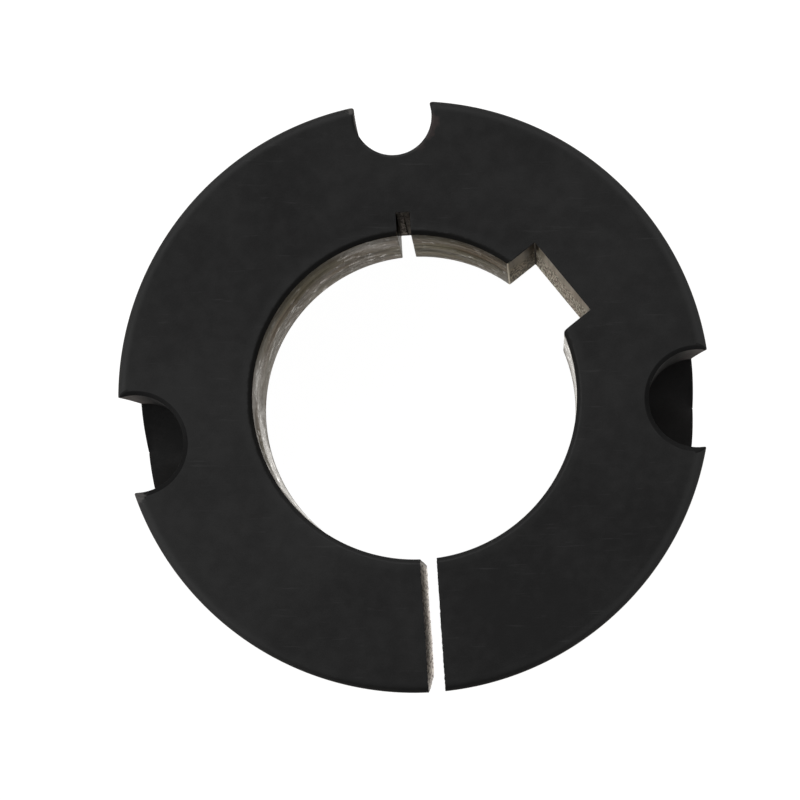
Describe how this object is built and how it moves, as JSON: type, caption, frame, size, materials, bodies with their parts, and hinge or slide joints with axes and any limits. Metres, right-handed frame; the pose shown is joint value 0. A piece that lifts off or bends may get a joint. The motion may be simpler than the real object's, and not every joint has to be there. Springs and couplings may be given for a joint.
{
  "type": "taper bush",
  "caption": "Split tapered bush that clamps a hub on a keyed shaft: keyed bore, shallow outer cone and half-holes for its screws.",
  "frame": {"origin": "centre of the small end face, on the bore axis", "axes": "+Z along the bore axis to the large end, +X through the middle of the keyway"},
  "size_m": [0.0698, 0.0698, 0.0318],
  "materials": {
    "blackened_iron": "matte black phosphate on the faces, bare turned metal in the bore and on the cone"
  },
  "bodies": {
    "root": {"taper_bush": "blackened_iron"}
  },
  "joints": []
}
